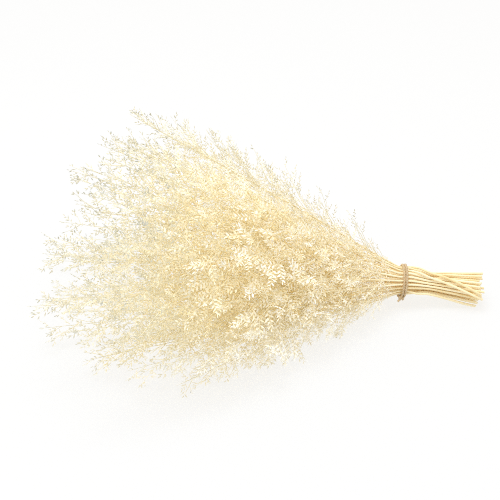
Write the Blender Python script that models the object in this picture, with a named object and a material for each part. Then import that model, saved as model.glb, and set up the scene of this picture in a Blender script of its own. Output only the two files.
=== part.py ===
"""A bunch of bleached ruscus on its side: leafy stems tied by two turns of twine."""

import math

import bpy
import numpy as np

# Metres. +X runs to the cut ends, -Y to the viewer, the tie is at x = 0 and the table at z = 0.
SEED = 11
RING_COUNTS = (22, 15, 8, 3)                     # stems in each ring of the bundle, from the outside in
RING_RADII = (0.0120, 0.0087, 0.0054, 0.0021)    # where the bundle is narrowest
RING_TURN = 0.35                                 # radians from one ring's first stem to the next ring's
WAIST_AT = 0.030                                 # from the tie to the narrowest place
TIE_SWELL = 1.38                                 # how much wider than the waist the bundle is at the tie
CUT_SWELL = 1.53                                 # and at the cut ends
CUT_LENGTH = 0.0955                              # from the tie to the cut ends
CUT_JITTER = 0.004
CUT_TWIST = math.radians(12)
CUT_DROP = 0.13                                  # fall of the bundle from the tie to the cut ends
TIE_HEIGHT = 0.0313
TIE_LEAN = 0.10                                  # slope of the bundle's sections, square to its fall
TIE_HALF = 0.0048                                # the stems run straight this far each side of the tie
CROSSING = {4: 104.0, 6: 84.0, 12: 34.0, 18: 56.0}   # outer stems that lie over the others: degrees of turn
CROSSING_LIFT = 0.0041                           # how far they stand off the others
CROSSING_RISE = 0.012                            # over this length past the tie
CUT_STATIONS = (0.055, WAIST_AT)
CROSSING_STATIONS = (0.081, 0.070, 0.060, 0.050, 0.040, WAIST_AT, 0.018)

HEAD_YAW = -0.15                                 # slopes of the head's middle: towards the viewer, and up
HEAD_RISE = 0.27
FAN_WIDE = 0.60                                  # slopes of the outermost stems beside the middle one
FAN_HIGH = 0.40
FAN_JITTER = 0.03
SECOND_IN = 0.86                                 # every second outer stem stands only this share of the way out
REACH = 0.454                                    # longest stem beyond the tie
REACH_JITTER = (-0.08, 0.03)
UPPER_EDGE = (0.545, 0.839)                      # sideways and up, from the head's middle to its upper edge
LONGEST_AT = 0.04                                # slope that way of the longest stems
SHORTER_ABOVE = ((0.07, 0.0, 0.12), (0.10, 0.28, 0.24))   # reach lost past it: most, from, over
SHORTER_BELOW = (0.34, 0.38)                     # and before it: most, and the slope where it is reached
DROOP = ((-0.02, 0.02), (-0.02, 0.01))           # how far a stem bends by its tip, sideways and up
HEAD_STATIONS = (0.035, 0.33, 0.67, 1.0)         # shares of a stem's reach
FIRST_BEND = 0.88                                # share of its slope that a stem has up to the first of them
TIE_SHARE = CUT_LENGTH / (CUT_LENGTH + REACH)

STEM_RADIUS = 0.00155                            # at the cut end
TIP_RADIUS = 0.00036
TAPER = 1.3
STEM_SIDES = 5
FLAT = math.cos(math.pi / STEM_SIDES)            # from the axis to a flat side, beside the radius
TABLE_GAP = 0.0001                               # under branches and leaflets
SETTLE = 0.00006                                 # stem corners this near the table are set on it

BRANCHES = 6                                     # side branches of each stem
BRANCH_SIDES = 3
BRANCH_SPAN = (0.13, 0.93)                       # shares of the head at which the first and the last leave
BRANCH_JITTER = 0.25                             # of the step between two
BRANCH_REACH = ((0.0, 0.02), (0.3, 0.062), (0.6, 0.064), (0.85, 0.036), (1.0, 0.018))
BRANCH_SIZES = (0.88, 1.1)
BRANCH_PARTS = (0.42, 0.58)                      # shares of a branch before and after it turns back
TRIED_SIZES = (1.0, 0.75, 0.5, 0.33)             # where another stem is in the way, with the turns in degrees
TRIED_TURNS = (0, 20, -20, 40, -40, 65, -65, 90, -90, 130, -130, 180)
BRANCH_ANGLE = math.radians(42)
BRANCH_CURL = math.radians(14)                   # how far a branch turns back towards its stem's line
BRANCH_RADIUS = 0.00050
NECK_RADIUS = 0.00030
GOLDEN_ANGLE = math.radians(137.5)
LEAF_LENGTH = 0.0048
LEAF_HALF_WIDTH = 0.00074
LEAF_HALF_THICKNESS = 0.00045
LEAF_ANGLE = math.radians(46)
LEAF_SPAN = (0.62, 0.8)                          # share of a line at which its leaflet leaves
LEAF_TURNS = (0, 60, -60, 120, -120, 180)        # degrees, tried in turn
CLEARANCE = 0.0004                               # kept between one stem's leaves and another stem

TWINE_RADIUS = 0.0014
TWINE_PITCH = 0.0032
TWINE_TURNS = 2
TWINE_GAP = 0.0004
KNOT_ANGLE = 2 * math.pi * 14 / RING_COUNTS[0]   # low on the viewer's side, over a stem
KNOT_LIFT = 0.0012
KNOT_HALF = 0.0046                               # the knot's reach along the bundle
KNOT_RADIUS = 0.0025
KNOT_OUTLINE = ((-1, 0), (-0.7, 0.78), (0, 1), (0.7, 0.78), (1, 0))   # shares of both
TAILS = ((-0.0040, 0.03, 0.0048), (0.0014, -0.13, 0.0034))   # loose ends: along, round and away from it
TAIL_BOW = 0.0004
TAIL_WIDTH = 0.85                                # beside the twine's
TWINE_SEGMENTS = RING_COUNTS[0]                  # in a turn, a corner over each outer stem
TWINE_SIDES = 6
KNOT_SIDES = 8

FOLIAGE_FINISH = ((0.86, 0.76, 0.55), 0.6)       # colour and roughness
TWINE_FINISH = ((0.55, 0.38, 0.20), 0.85)


def unit(vector):
    """The vector at length one"""
    return vector / np.linalg.norm(vector)


def ease(share):
    """0 to 1 with a level start and end"""
    share = min(max(share, 0.0), 1.0)
    return share * share * (3 - 2 * share)


def ring_places():
    """(ring, number in the ring, angle round the bundle) of each stem"""
    for ring, count in enumerate(RING_COUNTS):
        for number in range(count):
            yield ring, number, 2 * math.pi * number / count + RING_TURN * ring


def bundle_swell(x):
    """Width of the bundle x behind the tie, beside its waist"""
    if x < WAIST_AT:
        return 1 + (TIE_SWELL - 1) * ease((WAIST_AT - x) / (WAIST_AT - TIE_HALF))
    return 1 + (CUT_SWELL - 1) * ease((x - WAIST_AT) / (CUT_LENGTH - WAIST_AT))


def around_tie(x, angle, radius):
    """A point x behind the tie, at an angle round the bundle's middle, on a section square to the fall"""
    height = radius * math.sin(angle)
    return np.array((x + TIE_LEAN * height, radius * math.cos(angle), TIE_HEIGHT + height))


def on_table(z, radius):
    """The height at which a stem lies on the table, if z would put it lower"""
    return max(z, FLAT * radius)


def stem_radius(share):
    """Radius of a stem at a share of its length from the cut end"""
    return STEM_RADIUS + (TIP_RADIUS - STEM_RADIUS) * share ** TAPER


def cut_side(ring, number, angle, rng):
    """Axis points of one stem from its cut end to the tie"""
    crossing = ring == 0 and number in CROSSING
    turn = math.radians(CROSSING[number]) if crossing else CUT_TWIST
    cut = CUT_LENGTH + rng.uniform(-1, 1) * CUT_JITTER
    points = []
    for x in (cut, *(CROSSING_STATIONS if crossing else CUT_STATIONS), TIE_HALF):
        radius = RING_RADII[ring] * bundle_swell(x)
        share = (x - TIE_HALF) / (CUT_LENGTH - TIE_HALF)
        if crossing:
            radius += CROSSING_LIFT * ease((x - TIE_HALF) / CROSSING_RISE)
        point = around_tie(x, angle + turn * share, radius)
        point[2] = on_table(point[2] - CUT_DROP * (x - TIE_HALF), STEM_RADIUS)
        points.append(point)
    return points


def head_slopes(ring, number, angle, rng):
    """Sideways and upward slope of one stem in the head"""
    share = RING_RADII[ring] / RING_RADII[0]
    if ring == 0 and number % 2:
        share = SECOND_IN
    side = HEAD_YAW + FAN_WIDE * share * math.cos(angle) + rng.uniform(-1, 1) * FAN_JITTER
    rise = HEAD_RISE + FAN_HIGH * share * math.sin(angle) + rng.uniform(-1, 1) * FAN_JITTER
    return side, rise


def head_reach(side, rise, rng):
    """Length of one stem beyond the tie: longest in the middle, and shortest low on the viewer's side"""
    slope = UPPER_EDGE[0] * side + UPPER_EDGE[1] * rise - LONGEST_AT
    if slope > 0:
        short = sum(most * ease((slope - start) / over) for most, start, over in SHORTER_ABOVE)
    else:
        most, reached = SHORTER_BELOW
        short = most * (slope / reached) ** 2
    return REACH * (1 - short) * (1 + rng.uniform(*REACH_JITTER))


def head_side(ring, number, angle, rng):
    """Axis points of one stem from the tie to its tip"""
    start = around_tie(-TIE_HALF, angle, RING_RADII[ring] * TIE_SWELL)
    side, rise = head_slopes(ring, number, angle, rng)
    way = unit(np.array((-1.0, side, rise)))
    reach = head_reach(side, rise, rng)
    droop = np.array((0.0, *(rng.uniform(*bend) for bend in DROOP)))
    points = [start]
    for share in HEAD_STATIONS:
        point = start + way * reach * share + droop * share ** 2
        if share == HEAD_STATIONS[0]:
            point[1:] = start[1:] + FIRST_BEND * (point[1:] - start[1:])
        point[2] = on_table(point[2], stem_radius(TIE_SHARE + (1 - TIE_SHARE) * share))
        points.append(point)
    return points


def stem_axis(ring, number, angle, rng):
    """Axis points of a whole stem, its radius at each, and the number of points up to the tie"""
    cut = cut_side(ring, number, angle, rng)
    points = np.array(cut + head_side(ring, number, angle, rng))
    steps = np.linalg.norm(np.diff(points, axis=0), axis=1)
    travelled = np.concatenate(((0.0,), np.cumsum(steps)))
    radii = stem_radius(travelled / travelled[-1])
    return points, radii, len(cut)


def nearest(start, end, starts, ends):
    """Least distance from one straight length to each of many"""
    one, many, apart = end - start, ends - starts, start - starts
    a, b, e = one @ one, many @ one, np.einsum("ij,ij->i", many, many)
    c, f = apart @ one, np.einsum("ij,ij->i", apart, many)
    spread = np.maximum(a * e - b * b, 1e-18)
    on_many = np.clip((b * np.clip((b * f - c * e) / spread, 0, 1) + f) / e, 0, 1)
    on_one = np.clip((b * on_many - c) / a, 0, 1)
    between = apart + on_one[:, None] * one - on_many[:, None] * many
    return np.sqrt(np.einsum("ij,ij->i", between, between))


class Thicket:
    """The straight lengths placed so far, a row each: the stem that owns it, both ends, radius"""

    def __init__(self):
        self.rows = np.empty((0, 8))

    def add(self, owner, points, radii):
        for i in range(len(radii) - 1):
            length = (owner, *points[i], *points[i + 1], max(radii[i], radii[i + 1]))
            self.rows = np.vstack((self.rows, length))

    def clear(self, owner, points, radii, gap):
        others = self.rows[self.rows[:, 0] != owner]
        for i in range(len(radii) - 1):
            room = nearest(points[i], points[i + 1], others[:, 1:4], others[:, 4:7])
            if (room - others[:, 7]).min() < max(radii[i], radii[i + 1]) + gap:
                return False
        return True


def along(points, share):
    """Point and direction at a share of a line's length"""
    steps = np.linalg.norm(np.diff(points, axis=0), axis=1)
    left = share * steps.sum()
    for i, step in enumerate(steps):
        if left <= step or i == len(steps) - 1:
            direction = (points[i + 1] - points[i]) / step
            return points[i] + direction * left, direction
        left -= step


def outward(direction, angle):
    """Unit vector square to a direction, at an angle round it"""
    across = unit(np.cross(direction, (0.0, 0.0, 1.0)))
    above = np.cross(across, direction)
    return across * math.cos(angle) + above * math.sin(angle)


def leaning(direction, angle, lean):
    """Unit vector that leans away from a direction, towards an angle round it"""
    return direction * math.cos(lean) + outward(direction, angle) * math.sin(lean)


def lifted(points, radii):
    """The points, each at least its own radius above the table"""
    points = np.array(points)
    points[:, 2] = np.maximum(points[:, 2], np.array(radii) + TABLE_GAP)
    return points


def leaf_line(root, direction):
    """Axis points and radii of one leaflet, its root sunk in what it grows from"""
    steps = (0.0, 0.45 * LEAF_LENGTH, LEAF_LENGTH)
    radii = (0.0, LEAF_HALF_WIDTH, 0.0)
    return lifted([root + direction * step for step in steps], (0.0, LEAF_HALF_WIDTH, TABLE_GAP)), radii


def branch_line(root, stem_way, angle, length):
    """Axis points and radii of a side branch that ends in a leaflet"""
    first = leaning(stem_way, angle, BRANCH_ANGLE)
    later = leaning(stem_way, angle, BRANCH_ANGLE - BRANCH_CURL)
    neck = root + first * length * BRANCH_PARTS[0] + later * (length * BRANCH_PARTS[1] - LEAF_LENGTH)
    points = (root, neck, neck + later * LEAF_LENGTH * 0.5, neck + later * LEAF_LENGTH)
    radii = (BRANCH_RADIUS, NECK_RADIUS, LEAF_HALF_WIDTH, 0.0)
    return lifted(points, radii), radii


def free_line(thicket, owner, shapes, gap=CLEARANCE):
    """The first of the shapes that is clear of every other stem, or None"""
    for points, radii in shapes:
        if thicket.clear(owner, points, radii, gap):
            thicket.add(owner, points, radii)
            return points, radii
    return None


def branches_of(thicket, owner, head, rng):
    """Side branches of one stem, turned or shortened where another stem is in the way"""
    turn = rng.uniform(0, 2 * math.pi)
    found = []
    for number in range(BRANCHES):
        place = (number + rng.uniform(-BRANCH_JITTER, BRANCH_JITTER)) / (BRANCHES - 1)
        share = BRANCH_SPAN[0] + (BRANCH_SPAN[1] - BRANCH_SPAN[0]) * place
        root, way = along(head, min(share, 0.96))
        length = np.interp(share, *zip(*BRANCH_REACH)) * rng.uniform(*BRANCH_SIZES)
        angle = turn + GOLDEN_ANGLE * number
        shapes = (
            branch_line(root, way, angle + math.radians(step), length * size)
            for size in TRIED_SIZES
            for step in TRIED_TURNS
        )
        line = free_line(thicket, owner, shapes)
        if line:
            found.append(line)
    return found


def leaflets_of(thicket, owner, lines, rng):
    """Lines of the leaflets, one beside the tip of each line but the first"""
    found = []
    for points, _ in lines[1:]:
        share = rng.uniform(*LEAF_SPAN)
        root, way = along(points, share)
        angle = rng.uniform(0, 2 * math.pi)
        shapes = (
            leaf_line(root, leaning(way, angle + math.radians(step), LEAF_ANGLE))
            for step in LEAF_TURNS
        )
        line = free_line(thicket, owner, shapes)
        if line:
            found.append(line)
    return found


def tie_radius():
    """From the bundle's middle to the middle of the twine"""
    tied = RING_RADII[0] * TIE_SWELL
    return tied + stem_radius(TIE_SHARE) + TWINE_GAP + TWINE_RADIUS


def twine_turns(segments, radius):
    """Axis points of the twine's turns, which start and end under the knot"""
    steps = TWINE_TURNS * segments
    width = TWINE_TURNS * TWINE_PITCH
    turn = 2 * math.pi / segments
    return np.array([
        around_tie(width * (i / steps - 0.5), KNOT_ANGLE + turn * i, radius) for i in range(steps + 1)
    ])


def twine_tail(x_end, angle_end, length):
    """Axis points of a loose end that leaves the knot"""
    start = around_tie(0, KNOT_ANGLE, tie_radius() + KNOT_LIFT)
    end = around_tie(x_end, KNOT_ANGLE + angle_end, tie_radius() + KNOT_LIFT + length)
    return np.array((start, 0.5 * (start + end) + (TAIL_BOW, 0, 0), end))


def half_height(radius):
    """Leaflets are flat, and everything else is round"""
    return LEAF_HALF_THICKNESS if radius == LEAF_HALF_WIDTH else radius


def directions(points):
    """Unit direction at each point of a line"""
    steps = [unit(step) for step in np.diff(points, axis=0)]
    return [unit(before + after) for before, after in zip([steps[0], *steps], [*steps, steps[-1]])]


def section(point, direction, radius, sides):
    """Corners round a point, one flat side down"""
    across = unit(np.cross(direction, (0.0, 0.0, 1.0)))
    above = np.cross(across, direction)
    turns = [math.pi * (2 * i + 1) / sides - math.pi / 2 for i in range(sides)]
    wide, high = across * radius, above * half_height(radius)
    return [point + wide * math.cos(turn) + high * math.sin(turn) for turn in turns]


def tube(points, radii, sides):
    """Corners and faces of a closed tube along a line; a radius of zero makes a point"""
    corners, rings, faces = [], [], []
    for point, direction, radius in zip(points, directions(points), radii):
        added = section(point, direction, radius, sides) if radius else [point]
        rings.append(range(len(corners), len(corners) + len(added)))
        corners += added
    for here, there in zip(rings, rings[1:]):
        for i in range(sides):
            j = (i + 1) % sides
            face = (here[i % len(here)], here[j % len(here)], there[j % len(there)], there[i % len(there)])
            faces.append(tuple(dict.fromkeys(face)))
    if len(rings[0]) > 1:
        faces.append(tuple(reversed(rings[0])))
    if len(rings[-1]) > 1:
        faces.append(tuple(rings[-1]))
    return corners, faces


def settled(corners):
    """The corners, with those a hair above the table set on it"""
    corners = np.array(corners)
    corners[:, 2] = np.where(corners[:, 2] < SETTLE, 0.0, corners[:, 2])
    return corners


def add_solid(name, corners, faces, collection, material=None):
    mesh = bpy.data.meshes.new(name)
    mesh.from_pydata([tuple(corner) for corner in corners], [], faces)
    mesh.polygons.foreach_set("use_smooth", [True] * len(mesh.polygons))
    if material:
        mesh.materials.append(material)
    solid = bpy.data.objects.new(name, mesh)
    collection.objects.link(solid)
    return solid


def discard(solid):
    mesh = solid.data
    bpy.data.objects.remove(solid)
    bpy.data.meshes.remove(mesh)


def grow_on(solid, shapes):
    """Joins closed shapes, given as corners and faces, to a solid by one union"""
    extras = bpy.data.collections.new("extras")
    bpy.context.scene.collection.children.link(extras)
    for corners, faces in shapes:
        add_solid("extra", corners, faces, extras)
    union = solid.modifiers.new("union", "BOOLEAN")
    union.operation = "UNION"
    union.operand_type = "COLLECTION"
    union.collection = extras
    union.solver = "EXACT"
    bpy.context.view_layer.update()
    joined = bpy.data.meshes.new_from_object(solid.evaluated_get(bpy.context.evaluated_depsgraph_get()))
    solid.modifiers.clear()
    bare, solid.data = solid.data, joined
    joined.name = solid.name
    bpy.data.meshes.remove(bare)
    for extra in list(extras.objects):
        discard(extra)
    bpy.data.collections.remove(extras)


def plain_material(name, colour, roughness):
    material = bpy.data.materials.new(name)
    material.use_nodes = True
    shader = material.node_tree.nodes["Principled BSDF"]
    shader.inputs["Base Color"].default_value = (*colour, 1.0)
    shader.inputs["Roughness"].default_value = roughness
    material.diffuse_color = (*colour, 1.0)
    return material


def stems_and_growth():
    """Each stem's line with the lines that grow on it, all clear of one another"""
    rng = np.random.default_rng(SEED)
    stems = [stem_axis(*place, rng) for place in ring_places()]
    thicket = Thicket()
    for owner, (points, radii, _) in enumerate(stems):
        thicket.add(owner, points, radii)
    growth = [branches_of(thicket, owner, points[cut:], rng) for owner, (points, _, cut) in enumerate(stems)]
    for owner, (points, _, _) in enumerate(stems):
        growth[owner] += leaflets_of(thicket, owner, [*growth[owner], (points[-2:], None)], rng)
    return [(points, radii, grown) for (points, radii, _), grown in zip(stems, growth)]


def build_stems(material):
    home = bpy.context.scene.collection
    for number, (points, radii, growth) in enumerate(stems_and_growth(), 1):
        radii = [*radii[:-1], 0.0]
        corners, faces = tube(points, radii, STEM_SIDES)
        stem = add_solid(f"leafy_stem_{number:02d}", settled(corners), faces, home, material)
        grow_on(stem, [tube(*line, BRANCH_SIDES) for line in growth])


def knot_shape():
    """Corners and faces of the knot, a bead over both ends of the twine"""
    middle = around_tie(0, KNOT_ANGLE, tie_radius() + KNOT_LIFT)
    points = [middle + (share * KNOT_HALF, 0, 0) for share, _ in KNOT_OUTLINE]
    return tube(points, [share * KNOT_RADIUS for _, share in KNOT_OUTLINE], KNOT_SIDES)


def build_twine(material):
    points = twine_turns(TWINE_SEGMENTS, tie_radius())
    corners, faces = tube(points, [TWINE_RADIUS] * len(points), TWINE_SIDES)
    twine = add_solid("twine", corners, faces, bpy.context.scene.collection, material)
    tails = [tube(twine_tail(*tail), [TAIL_WIDTH * TWINE_RADIUS] * 3, TWINE_SIDES) for tail in TAILS]
    grow_on(twine, [knot_shape(), *tails])


def centre_on_origin():
    """Moves every corner so that the bunch stands over the origin"""
    meshes = [solid.data for solid in bpy.context.scene.collection.objects]
    corners = []
    for mesh in meshes:
        flat = np.empty(len(mesh.vertices) * 3)
        mesh.vertices.foreach_get("co", flat)
        corners.append(flat.reshape(-1, 3))
    everything = np.concatenate(corners)
    middle = 0.5 * (everything.min(axis=0) + everything.max(axis=0))
    middle[2] = everything[:, 2].min()
    for mesh, places in zip(meshes, corners):
        mesh.vertices.foreach_set("co", (places - middle).ravel())
        mesh.update()


def main():
    for leftover in list(bpy.data.objects):
        bpy.data.objects.remove(leftover)
    build_stems(plain_material("foliage", *FOLIAGE_FINISH))
    build_twine(plain_material("twine", *TWINE_FINISH))
    centre_on_origin()


main()
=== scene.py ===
"""Preserved ruscus, tied bunch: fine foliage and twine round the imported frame, with light and camera.

The first part repeats the solids' own lines, so each stem and branch lies where its solid is. The second
grows the fine twigs and leaflets along those lines.
"""

import math
from collections import namedtuple

import bpy
import numpy as np
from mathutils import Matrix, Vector


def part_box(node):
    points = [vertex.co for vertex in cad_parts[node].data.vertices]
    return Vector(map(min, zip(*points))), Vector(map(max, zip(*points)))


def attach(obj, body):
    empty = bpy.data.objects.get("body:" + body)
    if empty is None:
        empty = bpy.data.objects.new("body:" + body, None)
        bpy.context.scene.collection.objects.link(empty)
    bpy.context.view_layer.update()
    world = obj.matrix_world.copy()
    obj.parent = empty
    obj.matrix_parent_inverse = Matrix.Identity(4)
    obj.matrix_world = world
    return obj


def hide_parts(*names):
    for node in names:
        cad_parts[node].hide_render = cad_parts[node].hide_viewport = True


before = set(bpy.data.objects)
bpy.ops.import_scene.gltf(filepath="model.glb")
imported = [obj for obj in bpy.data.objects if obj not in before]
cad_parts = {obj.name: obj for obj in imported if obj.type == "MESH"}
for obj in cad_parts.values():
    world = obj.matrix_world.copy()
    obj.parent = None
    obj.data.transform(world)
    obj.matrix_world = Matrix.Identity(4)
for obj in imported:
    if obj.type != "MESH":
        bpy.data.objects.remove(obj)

# Metres. +X runs to the cut ends, -Y to the viewer, the tie is at x = 0 and the table at z = 0.
SEED = 11
RING_COUNTS = (22, 15, 8, 3)  # stems in each ring, from the outside in
RING_RADII = (0.0120, 0.0087, 0.0054, 0.0021)  # where the bundle is narrowest
RING_TURN = 0.35          # radians from one ring's first stem to the next's
WAIST_AT = 0.030          # from the tie to the narrowest place
TIE_SWELL = 1.38          # the bundle's width at the tie, beside its waist
CUT_SWELL = 1.53          # and at the cut ends
CUT_LENGTH = 0.0955       # from the tie to the cut ends
CUT_JITTER = 0.004
CUT_TWIST = math.radians(12)
CUT_DROP = 0.13           # slope of the bundle down to the cut ends
TIE_HEIGHT = 0.0313
TIE_LEAN = 0.10           # slope of the bundle's sections, square to its fall
TIE_HALF = 0.0048         # stems run straight this far each side of the tie
CROSSING = {4: 104.0, 6: 84.0, 12: 34.0, 18: 56.0}  # outer stems over the others: degrees of turn
CROSSING_LIFT = 0.0041    # how far they stand off the others
CROSSING_RISE = 0.012     # over this length past the tie
CUT_STATIONS = (0.055, WAIST_AT)
CROSSING_STATIONS = (0.081, 0.070, 0.060, 0.050, 0.040, WAIST_AT, 0.018)

HEAD_YAW = -0.15          # slopes of the head's middle: towards the viewer, and up
HEAD_RISE = 0.27
FAN_WIDE = 0.60           # slopes of the outermost stems beside the middle one
FAN_HIGH = 0.40
FAN_JITTER = 0.03
SECOND_IN = 0.86          # share of the way out for every second outer stem
REACH = 0.454             # longest stem beyond the tie
REACH_JITTER = (-0.08, 0.03)
UPPER_EDGE = (0.545, 0.839)  # sideways and up, from the head's middle
LONGEST_AT = 0.04         # slope that way of the longest stems
SHORTER_ABOVE = ((0.07, 0.0, 0.12), (0.10, 0.28, 0.24))  # reach lost past it: most, from, over
SHORTER_BELOW = (0.34, 0.38)  # and before it: most, and the slope there
DROOP = ((-0.02, 0.02), (-0.02, 0.01))  # how far a stem bends by its tip, sideways and up
HEAD_STATIONS = (0.035, 0.33, 0.67, 1.0)  # shares of a stem's reach
FIRST_BEND = 0.88         # share of a stem's slope up to the first of them
TIE_SHARE = CUT_LENGTH / (CUT_LENGTH + REACH)

STEM_RADIUS = 0.00155     # at the cut end
TIP_RADIUS = 0.00036
TAPER = 1.3
STEM_SIDES = 5
FLAT = math.cos(math.pi / STEM_SIDES)  # from the axis to a flat side, beside the radius
TABLE_GAP = 0.0001        # under branches and leaflets

BRANCHES = 6              # side branches of each stem
BRANCH_SPAN = (0.13, 0.93)  # shares of the head where first and last leave
BRANCH_JITTER = 0.25      # of the step between two
BRANCH_REACH = ((0.0, 0.02), (0.3, 0.062), (0.6, 0.064), (0.85, 0.036), (1.0, 0.018))
BRANCH_SIZES = (0.88, 1.1)
BRANCH_PARTS = (0.42, 0.58)  # shares of a branch before and after it turns back
TRIED_SIZES = (1.0, 0.75, 0.5, 0.33)  # where another stem is in the way
TRIED_TURNS = (0, 20, -20, 40, -40, 65, -65, 90, -90, 130, -130, 180)  # degrees
BRANCH_ANGLE = math.radians(42)
BRANCH_CURL = math.radians(14)  # how far a branch turns back to its stem's line
BRANCH_RADIUS = 0.00050
NECK_RADIUS = 0.00030
GOLDEN_ANGLE = math.radians(137.5)
LEAF_LENGTH = 0.0048
LEAF_HALF_WIDTH = 0.00074
CLEARANCE = 0.0004        # kept between a stem's leaves and another stem

TWINE_RADIUS = 0.0014
TWINE_PITCH = 0.0032
TWINE_TURNS = 2
TWINE_GAP = 0.0004
KNOT_ANGLE = 2 * math.pi * 14 / RING_COUNTS[0]  # low on the viewer's side, over a stem
KNOT_LIFT = 0.0012
TAILS = ((-0.0040, 0.03, 0.0048), (0.0014, -0.13, 0.0034))  # loose ends: along, round and away from it
TAIL_BOW = 0.0004


def unit(vector):
    """The vector at length one"""
    return vector / np.linalg.norm(vector)


def ease(share):
    """0 to 1 with a level start and end"""
    share = min(max(share, 0.0), 1.0)
    return share * share * (3 - 2 * share)


def ring_places():
    """(ring, number in the ring, angle round the bundle) of each stem"""
    for ring, count in enumerate(RING_COUNTS):
        for number in range(count):
            yield ring, number, 2 * math.pi * number / count + RING_TURN * ring


def bundle_swell(x):
    """Width of the bundle x behind the tie, beside its waist"""
    if x < WAIST_AT:
        return 1 + (TIE_SWELL - 1) * ease((WAIST_AT - x) / (WAIST_AT - TIE_HALF))
    return 1 + (CUT_SWELL - 1) * ease((x - WAIST_AT) / (CUT_LENGTH - WAIST_AT))


def around_tie(x, angle, radius):
    """A point x behind the tie, at an angle round the bundle's middle, on a section square to the fall"""
    height = radius * math.sin(angle)
    return np.array((x + TIE_LEAN * height, radius * math.cos(angle), TIE_HEIGHT + height))


def on_table(z, radius):
    """The height at which a stem lies on the table, if z would put it lower"""
    return max(z, FLAT * radius)


def stem_radius(share):
    """Radius of a stem at a share of its length from the cut end"""
    return STEM_RADIUS + (TIP_RADIUS - STEM_RADIUS) * share ** TAPER


def cut_side(ring, number, angle, rng):
    """Axis points of one stem from its cut end to the tie"""
    crossing = ring == 0 and number in CROSSING
    turn = math.radians(CROSSING[number]) if crossing else CUT_TWIST
    cut = CUT_LENGTH + rng.uniform(-1, 1) * CUT_JITTER
    points = []
    for x in (cut, *(CROSSING_STATIONS if crossing else CUT_STATIONS), TIE_HALF):
        radius = RING_RADII[ring] * bundle_swell(x)
        share = (x - TIE_HALF) / (CUT_LENGTH - TIE_HALF)
        if crossing:
            radius += CROSSING_LIFT * ease((x - TIE_HALF) / CROSSING_RISE)
        point = around_tie(x, angle + turn * share, radius)
        point[2] = on_table(point[2] - CUT_DROP * (x - TIE_HALF), STEM_RADIUS)
        points.append(point)
    return points


def head_slopes(ring, number, angle, rng):
    """Sideways and upward slope of one stem in the head"""
    share = RING_RADII[ring] / RING_RADII[0]
    if ring == 0 and number % 2:
        share = SECOND_IN
    side = HEAD_YAW + FAN_WIDE * share * math.cos(angle) + rng.uniform(-1, 1) * FAN_JITTER
    rise = HEAD_RISE + FAN_HIGH * share * math.sin(angle) + rng.uniform(-1, 1) * FAN_JITTER
    return side, rise


def head_reach(side, rise, rng):
    """Length of one stem beyond the tie: longest in the middle, and shortest low on the viewer's side"""
    slope = UPPER_EDGE[0] * side + UPPER_EDGE[1] * rise - LONGEST_AT
    if slope > 0:
        short = sum(most * ease((slope - start) / over) for most, start, over in SHORTER_ABOVE)
    else:
        most, reached = SHORTER_BELOW
        short = most * (slope / reached) ** 2
    return REACH * (1 - short) * (1 + rng.uniform(*REACH_JITTER))


def head_side(ring, number, angle, rng):
    """Axis points of one stem from the tie to its tip"""
    start = around_tie(-TIE_HALF, angle, RING_RADII[ring] * TIE_SWELL)
    side, rise = head_slopes(ring, number, angle, rng)
    way = unit(np.array((-1.0, side, rise)))
    reach = head_reach(side, rise, rng)
    droop = np.array((0.0, *(rng.uniform(*bend) for bend in DROOP)))
    points = [start]
    for share in HEAD_STATIONS:
        point = start + way * reach * share + droop * share ** 2
        if share == HEAD_STATIONS[0]:
            point[1:] = start[1:] + FIRST_BEND * (point[1:] - start[1:])
        point[2] = on_table(point[2], stem_radius(TIE_SHARE + (1 - TIE_SHARE) * share))
        points.append(point)
    return points


def stem_axis(ring, number, angle, rng):
    """Axis points of a whole stem, its radius at each, and the number of points up to the tie"""
    cut = cut_side(ring, number, angle, rng)
    points = np.array(cut + head_side(ring, number, angle, rng))
    steps = np.linalg.norm(np.diff(points, axis=0), axis=1)
    travelled = np.concatenate(((0.0,), np.cumsum(steps)))
    radii = stem_radius(travelled / travelled[-1])
    return points, radii, len(cut)


def nearest(start, end, starts, ends):
    """Least distance from one straight length to each of many"""
    one, many, apart = end - start, ends - starts, start - starts
    a, b, e = one @ one, many @ one, np.einsum("ij,ij->i", many, many)
    c, f = apart @ one, np.einsum("ij,ij->i", apart, many)
    spread = np.maximum(a * e - b * b, 1e-18)
    on_many = np.clip((b * np.clip((b * f - c * e) / spread, 0, 1) + f) / e, 0, 1)
    on_one = np.clip((b * on_many - c) / a, 0, 1)
    between = apart + on_one[:, None] * one - on_many[:, None] * many
    return np.sqrt(np.einsum("ij,ij->i", between, between))


class Thicket:
    """The straight lengths placed so far, a row each: the stem that owns it, both ends, radius"""

    def __init__(self):
        self.rows = np.empty((0, 8))

    def add(self, owner, points, radii):
        for i in range(len(radii) - 1):
            length = (owner, *points[i], *points[i + 1], max(radii[i], radii[i + 1]))
            self.rows = np.vstack((self.rows, length))

    def clear(self, owner, points, radii, gap):
        others = self.rows[self.rows[:, 0] != owner]
        for i in range(len(radii) - 1):
            room = nearest(points[i], points[i + 1], others[:, 1:4], others[:, 4:7])
            if (room - others[:, 7]).min() < max(radii[i], radii[i + 1]) + gap:
                return False
        return True


def along(points, share):
    """Point and direction at a share of a line's length"""
    steps = np.linalg.norm(np.diff(points, axis=0), axis=1)
    left = share * steps.sum()
    for i, step in enumerate(steps):
        if left <= step or i == len(steps) - 1:
            direction = (points[i + 1] - points[i]) / step
            return points[i] + direction * left, direction
        left -= step


def outward(direction, angle):
    """Unit vector square to a direction, at an angle round it"""
    across = unit(np.cross(direction, (0.0, 0.0, 1.0)))
    above = np.cross(across, direction)
    return across * math.cos(angle) + above * math.sin(angle)


def leaning(direction, angle, lean):
    """Unit vector that leans away from a direction, towards an angle round it"""
    return direction * math.cos(lean) + outward(direction, angle) * math.sin(lean)


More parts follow.
